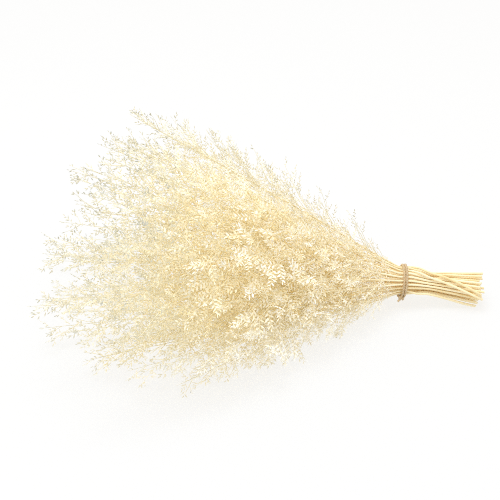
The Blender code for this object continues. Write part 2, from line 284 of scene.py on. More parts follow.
def lifted(points, radii):
    """The points, each at least its own radius above the table"""
    points = np.array(points)
    points[:, 2] = np.maximum(points[:, 2], np.array(radii) + TABLE_GAP)
    return points


def branch_line(root, stem_way, angle, length):
    """Axis points and radii of a side branch that ends in a leaflet"""
    first = leaning(stem_way, angle, BRANCH_ANGLE)
    later = leaning(stem_way, angle, BRANCH_ANGLE - BRANCH_CURL)
    neck = root + first * length * BRANCH_PARTS[0] + later * (length * BRANCH_PARTS[1] - LEAF_LENGTH)
    points = (root, neck, neck + later * LEAF_LENGTH * 0.5, neck + later * LEAF_LENGTH)
    radii = (BRANCH_RADIUS, NECK_RADIUS, LEAF_HALF_WIDTH, 0.0)
    return lifted(points, radii), radii


def free_line(thicket, owner, shapes, gap=CLEARANCE):
    """The first of the shapes that is clear of every other stem, or None"""
    for points, radii in shapes:
        if thicket.clear(owner, points, radii, gap):
            thicket.add(owner, points, radii)
            return points, radii
    return None


def branches_of(thicket, owner, head, rng):
    """Side branches of one stem, turned or shortened where another stem is in the way"""
    turn = rng.uniform(0, 2 * math.pi)
    found = []
    for number in range(BRANCHES):
        place = (number + rng.uniform(-BRANCH_JITTER, BRANCH_JITTER)) / (BRANCHES - 1)
        share = BRANCH_SPAN[0] + (BRANCH_SPAN[1] - BRANCH_SPAN[0]) * place
        root, way = along(head, min(share, 0.96))
        length = np.interp(share, *zip(*BRANCH_REACH)) * rng.uniform(*BRANCH_SIZES)
        angle = turn + GOLDEN_ANGLE * number
        shapes = (
            branch_line(root, way, angle + math.radians(step), length * size)
            for size in TRIED_SIZES
            for step in TRIED_TURNS
        )
        line = free_line(thicket, owner, shapes)
        if line:
            found.append(line)
    return found


def tie_radius():
    """From the bundle's middle to the middle of the twine"""
    tied = RING_RADII[0] * TIE_SWELL
    return tied + stem_radius(TIE_SHARE) + TWINE_GAP + TWINE_RADIUS


def twine_turns(segments, radius):
    """Axis points of the twine's turns, which start and end under the knot"""
    steps = TWINE_TURNS * segments
    width = TWINE_TURNS * TWINE_PITCH
    turn = 2 * math.pi / segments
    return np.array([
        around_tie(width * (i / steps - 0.5), KNOT_ANGLE + turn * i, radius) for i in range(steps + 1)
    ])


def twine_tail(x_end, angle_end, length):
    """Axis points of a loose end that leaves the knot"""
    start = around_tie(0, KNOT_ANGLE, tie_radius() + KNOT_LIFT)
    end = around_tie(x_end, KNOT_ANGLE + angle_end, tie_radius() + KNOT_LIFT + length)
    return np.array((start, 0.5 * (start + end) + (TAIL_BOW, 0, 0), end))


# Fine growth, in metres
CUT_PLACES = (-0.00025, 0.0, 0.0, 0.0003)  # rings at the cut end: sunk pith, its rim, bevel
CUT_WIDTHS = (0.16, 0.42, 0.90, 1.0)  # beside the stem's radius
CUT_SLANT = 0.35          # steepest slope of the cut
JOINTS = 4                # leaf scars on a stem's bare end
JOINT_STEP = 0.027
JOINT_PLACES = (0.25, 0.75)  # within a step
JOINT_HALF = 0.0011
JOINT_SWELL = 0.10
CLOSE_LENGTH = 0.150      # of a stem with closer rings
CLOSE_RINGS = 26
HEAD_RINGS = 21
SLENDER = ((0.0, 1.0), (0.18, 0.90), (0.27, 0.64), (0.5, 0.52), (1.0, 0.6))  # beside the solid's radius
FINE_STEM_SIDES = 8
FINE_BRANCH_SIDES = 4
BRANCH_RINGS = 5
FINE_BRANCH_RADII = (0.00048, 0.00020)
EXTRA_BRANCHES = 23       # on each stem besides the solid's own
EXTRA_SPAN = (0.02, 0.98)
EXTRA_REACH = ((0.0, 0.028), (0.1, 0.044), (0.3, 0.060), (0.6, 0.062), (0.85, 0.044), (1.0, 0.026))
EXTRA_SIZES = (0.6, 1.05)
WISPS_LONGER = 0.25       # where growth is thin
BACK_SHORTER = 0.35       # at the far side
BACK_FROM = 0.5
OUTER_SIDE = 0.62         # share of the turn round a stem that they keep to
BRANCH_BOW = 0.05
HEAD_FROM = 0.006         # from the tie to the first twigs
FULL_BRANCH = 0.055       # shorter branches have shorter twigs
LEAST_SIZE = 0.45

# How twigs sit on a line: "closer" draws them to its start, "turn" is from each to the next and "loose" its
# usual error, "start" is the most for the first, "angles" are from the line, and "reach" times TWIG_LENGTH
ON_STEM = {
    "first": 0.003, "step": 0.0105, "closer": 1.0, "turn": GOLDEN_ANGLE, "loose": 0.3, "start": math.pi,
    "angles": (30.0, 50.0), "reach": ((0.0, 0.6), (0.5, 1.0), (1.0, 0.6)),
}
ON_BRANCH = {
    "first": 0.006, "step": 0.0085, "closer": 0.75, "turn": math.pi, "loose": 0.3, "start": 0.0,
    "angles": (54.0, 40.0), "reach": ((0.0, 0.75), (0.3, 1.0), (0.7, 0.65), (1.0, 0.3)),
}
TWIG_LENGTH = 0.029
TWIG_SIZES = (0.75, 1.2)
TWIG_PLACES = (0.2, 0.8)  # within a step
TWIG_LOOSE = 5            # degrees, as their usual error
TWIG_ROLL = 0.15          # radians
VIGOUR = ((0.0, 0.4), (0.1, 0.75), (0.35, 1.0), (0.7, 0.9), (1.0, 0.65))  # along a stem's head
END_TWIG = (0.003, 0.006)  # past a branch's end
TWIG_BEND = 0.14
TWIG_RADII = (0.00021, 0.00016, 0.00010)
TWIG_SIDES = 3
LEAFLET_STEP = 0.0022
LEAFLET_SHIFT = 0.25      # of the step, either way
LEAFLET_APART = 0.4 * LEAFLET_STEP  # least, to the one at a twig's end
LEAFLET_FIRST = 0.0022    # bare foot of a twig
LEAFLET_LENGTH = (0.0056, 0.0079)
LEAFLET_WIDTH = 0.155     # half width beside the length
LEAFLET_WIDER = (0.85, 1.15)  # times that
LEAFLET_SIZES = ((0.0, 0.85), (0.4, 1.0), (1.0, 0.7))  # along a twig
LEAFLET_ANGLE = (56.0, 38.0)
LEAFLET_LOOSE = 6
LEAFLET_ROLL = 0.2
LEAFLETS_MOST = 16
LEAST_STRENGTH = 0.4      # share of their size that vigour leaves alone
TIP_SHARES = (0.65, 0.35)  # weights of a place's shares along stem and branch
TIP_GREY_FROM = 0.60         # from here towards the tips leaflets turn greyer
TIP_GREY_OVER = 0.30
GREY_FROM = 0.42          # but not in this share of the head
GREY_OVER = 0.20
CREAM_BELOW = 0.85        # and less so at the lower edge
EDGE_FROM = 0.95          # share of the way to an edge where all turn so
EDGE_SHIFT = 0.22         # sooner at the upper edge, later at the lower one
EDGE_OVER = 0.8
GREYEST_APART = 0.40        # how much further apart the greyest are, and broader
GREYEST_WIDER = 0.12
SPARSE_FROM = 0.3         # share of the way up where growth gets thin
SPARSE_TO = 0.24          # from the tie to where it is full
SPARSE_OVER = 0.14
BARE_ABOVE = 0.45         # most twigs left out there
FINE_ABOVE = 0.2          # and the others weaker
BOLD_OUTER = 0.15         # twigs at the head's outer side are stronger
BOLD_DEPTH = 0.020        # down to this far in
BOLD_BELOW = 0.25         # more so at the lower edge
BOLD_FROM = 0.22          # from the tie to where they are so in full
LIGHT_ABOVE = 0.42        # and weaker at the upper edge
LIGHT_FROM = 0.4          # from this share of the way up
SPRAY_TILT = 0.35         # how loosely sprays face out of the bunch
TIPWARD = 0.3             # and how far they face its tips

# One leaflet: shares of its length, of its half width, and of its half width upwards
LEAFLET_CORNERS = np.array((
    (0.00, 0.00, 0.00),
    (0.32, 1.00, 0.16), (0.32, -1.00, 0.16),
    (0.68, 0.80, 0.14), (0.68, -0.80, 0.14),
    (1.00, 0.00, 0.06),
    (0.44, 0.00, -0.42),
))
LEAFLET_FACES = np.array((
    (0, 2, 1), (1, 2, 4), (1, 4, 3), (3, 4, 5),
    (2, 0, 6), (4, 2, 6), (5, 4, 6), (3, 5, 6), (1, 3, 6), (0, 1, 6),
))
LEAFLET_CUP = 0.10        # rise of the tip beside the length

LEAF, BARK, CUT, TWIG = 0, 1, 2, 3  # material places of a stem

# Twine
PLIES = 3
PLY_RADIUS = 0.00074
PLY_OFFSET = 0.00072
PLY_TURN = 0.0095         # length of twine in one turn of a ply
PLY_SIDES = 6
PLY_UNEVEN = (0.93, 1.07)
ROPE_START = np.array((0.3, 0.2, 1.0))  # where the first ply of a line starts
TURN_STEPS = 150          # rings in one turn of the twine
PRESS = 0.0003            # how much closer than its solid the twine lies
FIBRES_A_METRE = 1500
FIBRE_RADII = 0.000022 * np.array((1.0, 0.9, 0.5))
FIBRE_LENGTH = (0.0008, 0.0026)
FIBRE_SUNK = 0.9          # of a ply's radius
FIBRE_LEAN = (0.1, 1.0)   # outwards, beside the way along
FIBRE_CURL = 0.5
FIBRE_END = 0.9           # of its length, how far a curled one gets
FRAY = 16                 # loose fibres at each end
FRAY_SPREAD = 0.55
FRAY_SUNK = 0.0006
FRAY_SIZE = 0.8           # beside the other fibres
KNOT_STEPS = 90
KNOT_SIZE = 0.0010
KNOT_DEEP = 0.8
TAIL_STEPS = 14

# How pale growth is painted: golden deep in the head, as painted shade, and paler at its outside, far tips,
# edges and near the tie, as painted light
SHADED_GOLDEN_DEPTH = 0.012      # inside the outermost stems: painted golden, as shade, up to here
PALE_OVER = 0.026         # and this much further out it is palest
FULL_DEPTH_AT = 0.3       # from the tie to where both hold
LEAST_DEPTH = 0.35        # share of them at the tie
PALE_FROM = 0.52          # share of the head's length from which it is paler
PALE_ABOVE = 0.35         # and shares of the way to the upper and the lower edge
PALE_BELOW = 0.45
NEAR_TIE = 0.26           # this near to the tie it is paler too
NEAR_TIE_TONE = 0.9       # by this much at it
TWIGS_DIFFER = 0.35
LEAFLETS_DIFFER = 0.12
LEAFLET_THROUGH = 0.3     # share of light that goes through

# Colours by how pale a place is; on leaflets and twigs the golden low ends are painted shade deep in the head
STRAW = ((0.1, (0.78, 0.58, 0.25)), (0.45, (0.93, 0.80, 0.50)), (0.9, (0.985, 0.94, 0.77)))
PALE = ((0.1, (0.82, 0.675, 0.33)), (0.45, (0.92, 0.825, 0.54)), (0.8, (0.98, 0.95, 0.82)))
BLADE = ((0.1, (0.945, 0.88, 0.64)), (0.45, (0.982, 0.948, 0.81)), (0.8, (0.994, 0.987, 0.95)))
PITH = ((0.1, (0.90, 0.80, 0.58)), (0.5, (0.82, 0.66, 0.38)), (0.9, (0.60, 0.42, 0.20)))
JUTE = ((0.2, (0.42, 0.29, 0.15)), (0.5, (0.72, 0.57, 0.36)), (0.85, (0.90, 0.78, 0.56)))
# Greyer colours that leaflets and bark turn to towards the tips and the head's upper and lower edges
GREY_BLADE = (0.67, 0.67, 0.58, 1.0)
GREY_BARK = (0.68, 0.645, 0.48, 1.0)
BLADE_FOOT = (0.89, 0.755, 0.41, 1.0)
FOOT_LENGTH = 0.0022
FOOT_SHARE = 0.75
NOISE_SPAN = (0.3, 0.7)   # where most of a noise's values lie

# Floor, light and camera
FLOOR_HALF = 4.0
FLOOR_COLOUR = (0.13, 0.145, 0.17, 1.0)
FLOOR_GLOW = 0.81         # keeps shadows on the white table faint and warm
FLOOR_GLOW_COLOUR = (1.0, 0.975, 0.925, 1.0)
WORLD_COLOUR = (1.0, 1.0, 1.0, 1.0)
WORLD_STRENGTH = 0.975
LAMP_SIZE = 0.9
LAMP_PLACE = (-0.2, 0.0, 1.75)
LAMP_ENERGY = 17.0
LAMP_TARGET = (0.0, 0.0, 0.05)
LIGHT_PATHS = {
    "max_bounces": 24, "diffuse_bounces": 16, "transmission_bounces": 16,
    "use_denoising": False, "filter_width": 1.0,
}
CAMERA_TARGET = (-0.0190, 0.0356, 0.078)
CAMERA_ELEVATION = math.radians(33)
CAMERA_DISTANCE = 1.75
CAMERA_LENS = 104.0


def placed(name, data):
    """A new object in the scene"""
    made = bpy.data.objects.new(name, data)
    bpy.context.scene.collection.objects.link(made)
    return made


class Pile:
    """Corners and faces of one piece as it grows, with what its materials read"""

    def __init__(self):
        self.parts = []
        self.count = 0

    def add(self, corners, faces, grain, tone, place, greyness=0.0):
        """Many of one shape: corners and grain as (shape, corner, 3), and the faces of one"""
        many, each = corners.shape[:2]
        tone, greyness = (np.repeat(values, many * each // np.size(values)) for values in (tone, greyness))
        faces = faces + (self.count + each * np.arange(many))[:, None, None]
        places = np.broadcast_to(place, faces.shape[:2]).ravel()
        self.parts.append((*(part.reshape(-1, 3) for part in (corners, grain, faces)), places, tone, greyness))
        self.count += many * each

    def piece(self, name, materials):
        """The object made of all that was added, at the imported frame's place"""
        corners, grain, faces, places, tone, greyness = (np.concatenate(part) for part in zip(*self.parts))
        corners[:, 2] = np.maximum(corners[:, 2], TABLE_GAP / 2)
        mesh = bpy.data.meshes.new(name)
        mesh.from_pydata(corners + to_frame(), [], faces)
        for material in materials:
            mesh.materials.append(material)
        mesh.polygons.foreach_set("material_index", places.astype(np.int32))
        mesh.polygons.foreach_set("use_smooth", places == BARK)
        mesh.attributes.new("grain", "FLOAT_VECTOR", "POINT").data.foreach_set("vector", grain.ravel())
        mesh.attributes.new("tone", "FLOAT", "POINT").data.foreach_set("value", tone)
        mesh.attributes.new("greyness", "FLOAT", "POINT").data.foreach_set("value", greyness)
        made = placed(name, mesh)
        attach(made, "root")
        return made


def to_frame():
    """From the part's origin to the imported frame's, told by how far the twine reaches"""
    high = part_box("twine")[1]
    reach = twine_turns(RING_COUNTS[0], tie_radius()).max(axis=0) + TWINE_RADIUS
    return np.array((high.x - reach[0], high.y - reach[1], 0.0))


def units(vectors):
    """Each of the vectors at length one"""
    return vectors / np.linalg.norm(vectors, axis=-1, keepdims=True)


def dot(one, other):
    return np.sum(one * other, axis=-1, keepdims=True)


def distances(points):
    """How far each point of a line, or of many, is along it"""
    steps = np.linalg.norm(np.diff(points, axis=-2), axis=-1)
    return np.cumsum(np.insert(steps, 0, 0.0, axis=-1), axis=-1)


def beyond(value, start):
    """0 to 1 as a value goes from a start to 1"""
    return np.clip((value - start) / (1 - start), 0, 1)


def smooth_line(points, places):
    """Points and directions at places, in metres, on a curve through a line's points"""
    travelled = distances(points)
    slopes = np.gradient(points, travelled, axis=0)
    i = np.clip(np.searchsorted(travelled, places, side="right") - 1, 0, len(points) - 2)
    step = (travelled[i + 1] - travelled[i])[:, None]
    t = (np.asarray(places) - travelled[i])[:, None] / step
    start, end, out, back = points[i], points[i + 1], slopes[i] * step, slopes[i + 1] * step
    square, cube = 3 * (end - start) - 2 * out - back, 2 * (start - end) + out + back
    return start + t * (out + t * (square + t * cube)), units(out + t * (2 * square + 3 * t * cube))


def tubes(axes, ways, radii, sides, across):
    """Corners, faces and grain of closed tubes, with axes as (tube, ring, 3)"""
    count, rings = radii.shape
    across = units(across - ways * dot(across, ways))
    above = np.cross(across, ways)
    turns = 2 * math.pi * (np.arange(sides) + 0.5) / sides
    wide, high = radii[..., None] * np.cos(turns), radii[..., None] * np.sin(turns)
    corners = axes[:, :, None] + wide[..., None] * across[:, :, None] + high[..., None] * above[:, :, None]
    travelled = np.broadcast_to(distances(axes)[..., None], wide.shape)
    grain = np.stack((travelled, wide, high), axis=-1)
    here = np.arange(sides)
    there = (here + 1) % sides
    halves = np.array(((here, here + sides, there), (there, here + sides, there + sides)))
    ring = halves.transpose(0, 2, 1).reshape(-1, 3)
    wall = (ring + sides * np.arange(rings - 1)[:, None, None]).reshape(-1, 3)
    cap = np.array([(0, k, k + 1) for k in range(1, sides - 1)])
    faces = np.concatenate((wall, cap, cap[:, ::-1] + sides * (rings - 1)))
    return corners.reshape(count, -1, 3), faces, grain.reshape(count, -1, 3)


def stem_tube(pile, points, radii, tone, rng):
    """A stem's tube, with the scars of its lowest leaves and a slanted cut"""
    travelled = distances(points)
    joints = JOINT_STEP * (np.arange(JOINTS) + rng.uniform(*JOINT_PLACES, JOINTS))
    scars = (joints[:, None] + JOINT_HALF * np.array((-1.0, 0.0, 1.0))).ravel()
    close = np.linspace(CUT_PLACES[-1], CLOSE_LENGTH, CLOSE_RINGS)[1:]
    far = np.linspace(CLOSE_LENGTH, travelled[-1], HEAD_RINGS)[1:]
    places = np.concatenate((CUT_PLACES, np.sort(np.concatenate((scars, close, far)))))
    axis, ways = smooth_line(points, places)
    swell = 1 + JOINT_SWELL * np.exp(-((places[:, None] - joints) / JOINT_HALF) ** 2).sum(axis=1)
    wide = np.interp(places, travelled, radii) * swell * np.interp(places / travelled[-1], *zip(*SLENDER))
    wide[:len(CUT_WIDTHS)] *= CUT_WIDTHS
    corners, faces, grain = tubes(axis[None], ways[None], wide[None], FINE_STEM_SIDES, (0.0, 0.0, 1.0))
    end = len(CUT_PLACES) * FINE_STEM_SIDES
    slant = rng.uniform(-CUT_SLANT, CUT_SLANT, 2)
    corners[0, :end] += np.outer(grain[0, :end, 1:] @ slant, ways[0])
    is_cut = faces.max(axis=1) < end - FINE_STEM_SIDES
    greyness = beyond(places / travelled[-1], TIE_SHARE)
    pile.add(corners, faces, grain, tone, np.where(is_cut, CUT, BARK), greyness)
    return axis, ways


def at_places(values, travelled, places):
    """Values at each point of a line, read off at places along it"""
    return np.stack([np.interp(places, travelled, values[:, k]) for k in range(3)], axis=-1)


def fine_branches(lines, axis, rng):
    """Smooth axes and directions of side branches, up to where their last leaflet starts"""
    axes, ways = [], []
    for root, neck, _, tip in lines:
        root = axis[np.argmin(np.linalg.norm(axis - root, axis=1))]
        bow = BRANCH_BOW * np.cross(neck - root, units(rng.normal(size=3)))
        points = np.array((root, 0.5 * (root + neck) + bow, neck, tip))
        fine, way = smooth_line(points, np.linspace(0.0, distances(points)[2], BRANCH_RINGS))
        fine[:, 2] = np.maximum(fine[:, 2], FINE_BRANCH_RADII[0])
        axes.append(fine)
        ways.append(way)
    return np.array(axes), np.array(ways)


def from_middle(points):
    """How far points are beside and above the head's middle, and how far its edges are"""
    past_tie = np.maximum(-points[..., :1], 0.0)
    offset = points[..., 1:] - np.array((0.0, TIE_HEIGHT)) - past_tie * np.array((HEAD_YAW, HEAD_RISE))
    return offset, RING_RADII[0] * TIE_SWELL + past_tie * np.array((FAN_WIDE, FAN_HIGH))


def out_of_middle(points):
    """Directions out of the head, and a little towards its tips"""
    offset, half = from_middle(points)
    side = offset / half ** 2
    along_head = -TIPWARD * np.linalg.norm(side, axis=-1, keepdims=True)
    return units(np.concatenate((along_head, side), axis=-1))


def past_stems(points):
    """Metres from the outermost stems outwards to points"""
    offset, half = from_middle(points)
    return np.linalg.norm(offset, axis=-1) * (1 - 1 / np.linalg.norm(offset / half, axis=-1))


def up_in_head(points):
    """-1 at the head's lower edge to 1 at its upper edge"""
    offset, half = from_middle(points)
    return offset @ UPPER_EDGE / np.linalg.norm(half * UPPER_EDGE, axis=-1)


def sparseness(points):
    """0 to 1 towards the head's upper edge near the tie, where growth is thin"""
    near_tie = np.clip((SPARSE_TO + points[:, 0]) / SPARSE_OVER, 0, 1)
    return near_tie * beyond(up_in_head(points), SPARSE_FROM)


def angle_of(side, way):
    """The angle round a direction at which a side lies"""
    across = unit(np.cross(way, (0.0, 0.0, 1.0)))
    return math.atan2(side @ np.cross(across, way), side @ across)


def extra_branches(axis, ways, rng):
    """Lines of more side branches than the solid has, most of them on the outer side"""
    travelled = distances(axis)
    shares = (np.arange(EXTRA_BRANCHES) + rng.uniform(0, 1, EXTRA_BRANCHES)) / EXTRA_BRANCHES
    shares = EXTRA_SPAN[0] + (EXTRA_SPAN[1] - EXTRA_SPAN[0]) * shares
    places = shares * travelled[-1]
    roots, stem_ways = at_places(axis, travelled, places), units(at_places(ways, travelled, places))
    facing = out_of_middle(roots)
    facing[:, 2] = np.maximum(facing[:, 2], 0)
    lengths = np.interp(shares, *zip(*EXTRA_REACH)) * rng.uniform(*EXTRA_SIZES, EXTRA_BRANCHES)
    lengths *= 1 + WISPS_LONGER * sparseness(roots)
    lengths *= 1 - BACK_SHORTER * beyond(facing[:, 1], BACK_FROM)
    turns = (rng.uniform(0, 2 * math.pi) + GOLDEN_ANGLE * np.arange(EXTRA_BRANCHES)) % (2 * math.pi) - math.pi
    return [
        branch_line(root, way, angle_of(side, way) + OUTER_SIDE * turn, length)[0]
        for root, way, side, turn, length in zip(roots, stem_ways, facing, turns, lengths)
    ]


def boldness(points):
    """How strong twigs are for where they start"""
    up = up_in_head(points)
    outer = np.clip(1 + past_stems(points) / BOLD_DEPTH, 0, 1)
    far = np.clip(-points[:, 0] / BOLD_FROM, 0, 1)
    bolder = (BOLD_OUTER * outer + BOLD_BELOW * np.clip(-up, 0, 1)) * far
    return 1 + bolder - LIGHT_ABOVE * beyond(up, LIGHT_FROM)


Twigs = namedtuple("Twigs", "roots ways uppers line_ways lengths vigour shares")


def twigs_along(axis, ways, habit, size, vigour, rng):
    """Twigs on a line, where and how its habit puts them"""
    travelled = distances(axis)
    count = max(int((travelled[-1] - habit["first"]) / habit["step"]), 1)
    shares = ((np.arange(count) + rng.uniform(*TWIG_PLACES, count)) / count) ** habit["closer"]
    places = habit["first"] + shares * (travelled[-1] - habit["first"])
    roots, line_ways = at_places(axis, travelled, places), units(at_places(ways, travelled, places))
    facing = units(out_of_middle(roots) + rng.normal(0, SPRAY_TILT, 3))
    turns = rng.uniform(-1, 1) * habit["start"] + habit["turn"] * np.arange(count)
    turns = (turns + rng.normal(0, habit["loose"], count))[:, None]
    across = units(np.cross(line_ways, facing))
    sides = across * np.cos(turns) + np.cross(line_ways, across) * np.sin(turns)
    leans = np.interp(shares, (0, 1), habit["angles"]) + rng.normal(0, TWIG_LOOSE, count)
    leans = np.radians(leans)[:, None]
    twig_ways = line_ways * np.cos(leans) + sides * np.sin(leans)
    uppers = units(facing - twig_ways * dot(twig_ways, facing) + rng.normal(0, TWIG_ROLL, twig_ways.shape))
    lengths = np.interp(shares, *zip(*habit["reach"])) * TWIG_LENGTH * rng.uniform(*TWIG_SIZES, count)
    vigour = np.interp(shares, *zip(*vigour))
    return Twigs(roots, twig_ways, uppers, line_ways, lengths * size * vigour, vigour, shares)


def end_twigs(roots, ways, vigour, rng):
    """Twigs that carry lines on past their ends"""
    uppers = units(np.cross(ways, rng.normal(size=ways.shape)))
    return Twigs(roots, ways, uppers, ways, rng.uniform(*END_TWIG, len(roots)), vigour, np.ones(len(roots)))


def kept_up(way, root, length, height):
    """Directions turned up where they would end lower than a height"""
    least = (height - root[..., 2]) / length
    way = way.copy()
    way[..., 2] = np.maximum(way[..., 2], least)
    return units(way)


def twig_at(twigs, shares):
    """Points and directions at shares of twigs, given as (twig, share)"""
    shares, lengths = shares[..., None], twigs.lengths[:, None, None]
    ways, line_ways = twigs.ways[:, None], twigs.line_ways[:, None]
    points = twigs.roots[:, None] + lengths * (ways * shares + TWIG_BEND * line_ways * shares ** 2)
    return points, units(ways + 2 * TWIG_BEND * line_ways * shares)


def add_twigs(pile, twigs, tone, greyness):
    points, ways = twig_at(twigs, np.linspace(0.0, 1.0, len(TWIG_RADII))[None])
    points[..., 2] = np.maximum(points[..., 2], TWIG_RADII[0] + TABLE_GAP)
    radii = np.broadcast_to(TWIG_RADII, points.shape[:2])
    pile.add(*tubes(points, ways, radii, TWIG_SIDES, twigs.uppers[:, None]), tone, TWIG, greyness)


def leaflet_lines(twigs, tone, greyness, rng):
    """Leaflets, alternate on twigs: roots, directions, upper sides, lengths, tone and greyness"""
    uppers, lengths = twigs.uppers[:, None], twigs.lengths[:, None]
    strength = LEAST_STRENGTH + (1 - LEAST_STRENGTH) * twigs.vigour[:, None]
    number = np.arange(LEAFLETS_MOST)
    places = LEAFLET_STEP * (number + rng.uniform(-LEAFLET_SHIFT, LEAFLET_SHIFT, (len(tone), LEAFLETS_MOST)))
    places = LEAFLET_FIRST + places * (1 + GREYEST_APART * greyness[:, None]) * np.maximum(strength, 1)
    places[:, -1] = twigs.lengths
    shares = np.minimum(places / lengths, 1.0)
    roots, ways = twig_at(twigs, shares)
    across = units(np.cross(uppers, ways))
    leans = np.radians(np.interp(shares, (0, 1), LEAFLET_ANGLE) + rng.normal(0, LEAFLET_LOOSE, shares.shape))
    leans[:, -1] = 0.0
    rolls = rng.normal(0, LEAFLET_ROLL, shares.shape) + math.pi * number
    sides = across * np.cos(rolls)[..., None] + uppers * np.sin(rolls)[..., None]
    ways = ways * np.cos(leans)[..., None] + sides * np.sin(leans)[..., None]
    uppers = uppers + rng.normal(0, LEAFLET_ROLL, ways.shape)
    sizes = rng.uniform(*LEAFLET_LENGTH, shares.shape) * np.interp(shares, *zip(*LEAFLET_SIZES)) * strength
    there = (places < lengths - LEAFLET_APART) | (number == LEAFLETS_MOST - 1)
    tone, greyness = (np.broadcast_to(values[:, None], shares.shape) for values in (tone, greyness))
    return (values[there] for values in (roots, ways, uppers, sizes, tone, greyness))


def add_leaflets(pile, lines, rng):
    """Leaflets: thin keeled blades that cup a little towards their tips"""
    roots, ways, uppers, lengths, tone, greyness = lines
    roots[:, 2] = np.maximum(roots[:, 2], TWIG_RADII[0] + TABLE_GAP)
    ways = kept_up(ways, roots, lengths, 3 * TABLE_GAP)
    across = units(np.cross(uppers, ways))
    above = np.cross(ways, across)
    share, beside, over = LEAFLET_CORNERS.T[..., None]
    lengths = lengths[:, None, None]
    wide = LEAFLET_WIDTH * lengths * rng.uniform(*LEAFLET_WIDER, lengths.shape)
    wide = wide * (1 + GREYEST_WIDER * greyness)[:, None, None]
    height = over * wide + LEAFLET_CUP * lengths * share ** 2
    grain = np.concatenate((share * lengths, beside * wide, height), axis=-1)
    corners = roots[:, None] + sum(
        grain[..., k:k + 1] * axis[:, None] for k, axis in enumerate((ways, across, above)))
    tone = tone + rng.uniform(-LEAFLETS_DIFFER, LEAFLETS_DIFFER, len(tone))
    pile.add(corners, LEAFLET_FACES, grain, tone, LEAF, greyness)


def shade_and_tone(roots, rng):
    """0 to 1 from golden, deep in the head, to pale: painted shade inside the head, plus tone that differs at
    random
    """
    wide = np.clip(-roots[:, 0] / FULL_DEPTH_AT, LEAST_DEPTH, 1)
    outer = (past_stems(roots) / wide + SHADED_GOLDEN_DEPTH) / PALE_OVER
    near = NEAR_TIE_TONE * (1 + roots[:, 0] / NEAR_TIE)
    up = up_in_head(roots)
    far = beyond(-roots[:, 0] / REACH, PALE_FROM)
    at_edges = np.maximum(beyond(up, PALE_ABOVE), beyond(-up, PALE_BELOW))
    pale = np.clip(np.max((outer, far, near, at_edges), axis=0), 0, 1)
    return pale * (1 - TWIGS_DIFFER) + rng.uniform(0, TWIGS_DIFFER, len(roots))


def greyness_at(roots, stem_shares, twig_shares=0.5):
    """0 to 1 towards the tips, and towards the head's upper and lower edges: how much greyer the colour is"""
    up = up_in_head(roots)
    to_tip = (TIP_SHARES[0] * stem_shares + TIP_SHARES[1] * twig_shares - TIP_GREY_FROM) / TIP_GREY_OVER
    to_tip = to_tip * (1 - CREAM_BELOW * np.clip(-up, 0, 1))
    to_tip = to_tip * np.clip((-roots[:, 0] / REACH - GREY_FROM) / GREY_OVER, 0, 1)
    to_edge = (np.abs(up + EDGE_SHIFT) - EDGE_FROM) / EDGE_OVER
    return np.clip(np.maximum(to_tip, to_edge), 0, 1)


def grow_branches(pile, axis, ways, lines, rng):
    """A stem's side branches, and more between them: axes, directions and shares along the head"""
    axes, branch_ways = fine_branches(lines + extra_branches(axis, ways, rng), axis, rng)
    shares = (axes[:, 0, 0] - axis[0, 0]) / (axis[-1, 0] - axis[0, 0])
    radii = np.broadcast_to(np.linspace(*FINE_BRANCH_RADII, BRANCH_RINGS), axes.shape[:2])
    uppers = np.cross(branch_ways[:, :1], rng.normal(size=(len(axes), 1, 3)))
    tone, greyness = shade_and_tone(axes[:, 2], rng), greyness_at(axes[:, -1], shares)
    pile.add(*tubes(axes, branch_ways, radii, FINE_BRANCH_SIDES, uppers), tone, TWIG, greyness)
    return axes, branch_ways, shares


def stem_twigs(axis, ways, axes, branch_ways, stem_shares, rng):
    """Twigs on one stem, on its branches and past their ends, and how grey each is coloured"""
    vigour = np.interp(stem_shares, *zip(*VIGOUR))
    found = [twigs_along(axis, ways, ON_STEM, 1.0, VIGOUR, rng)]
    greyness = [greyness_at(found[0].roots, found[0].shares)]
    for line, way, strength, stem_share in zip(axes, branch_ways, vigour, stem_shares):
        size = min(max(distances(line)[-1] / FULL_BRANCH, LEAST_SIZE), 1.0)
        twigs = twigs_along(line, way, ON_BRANCH, size, ((0.0, strength),), rng)
        found.append(twigs)
        greyness.append(greyness_at(twigs.roots, stem_share, twigs.shares))
    ends = np.concatenate((axes[:, -1], axis[-1:])), np.concatenate((branch_ways[:, -1], ways[-1:]))
    found.append(end_twigs(*ends, np.append(vigour, VIGOUR[-1][1]), rng))
    greyness.append(greyness_at(ends[0], np.append(stem_shares, 1.0), 1.0))
    return Twigs(*(np.concatenate(part) for part in zip(*found))), np.concatenate(greyness)


def thinned(twigs, greyness, rng):
    """Fewer twigs where growth is thin, and the others as strong as suits their place"""
    sparse = sparseness(twigs.roots)
    there = rng.uniform(0, 1, len(sparse)) > BARE_ABOVE * sparse
    twigs = Twigs(*(part[there] for part in twigs))
    strength = boldness(twigs.roots) - FINE_ABOVE * sparse[there]
    ways = kept_up(twigs.ways, twigs.roots, twigs.lengths, 2 * TWIG_RADII[0])
    return twigs._replace(ways=ways, vigour=twigs.vigour * strength), greyness[there]


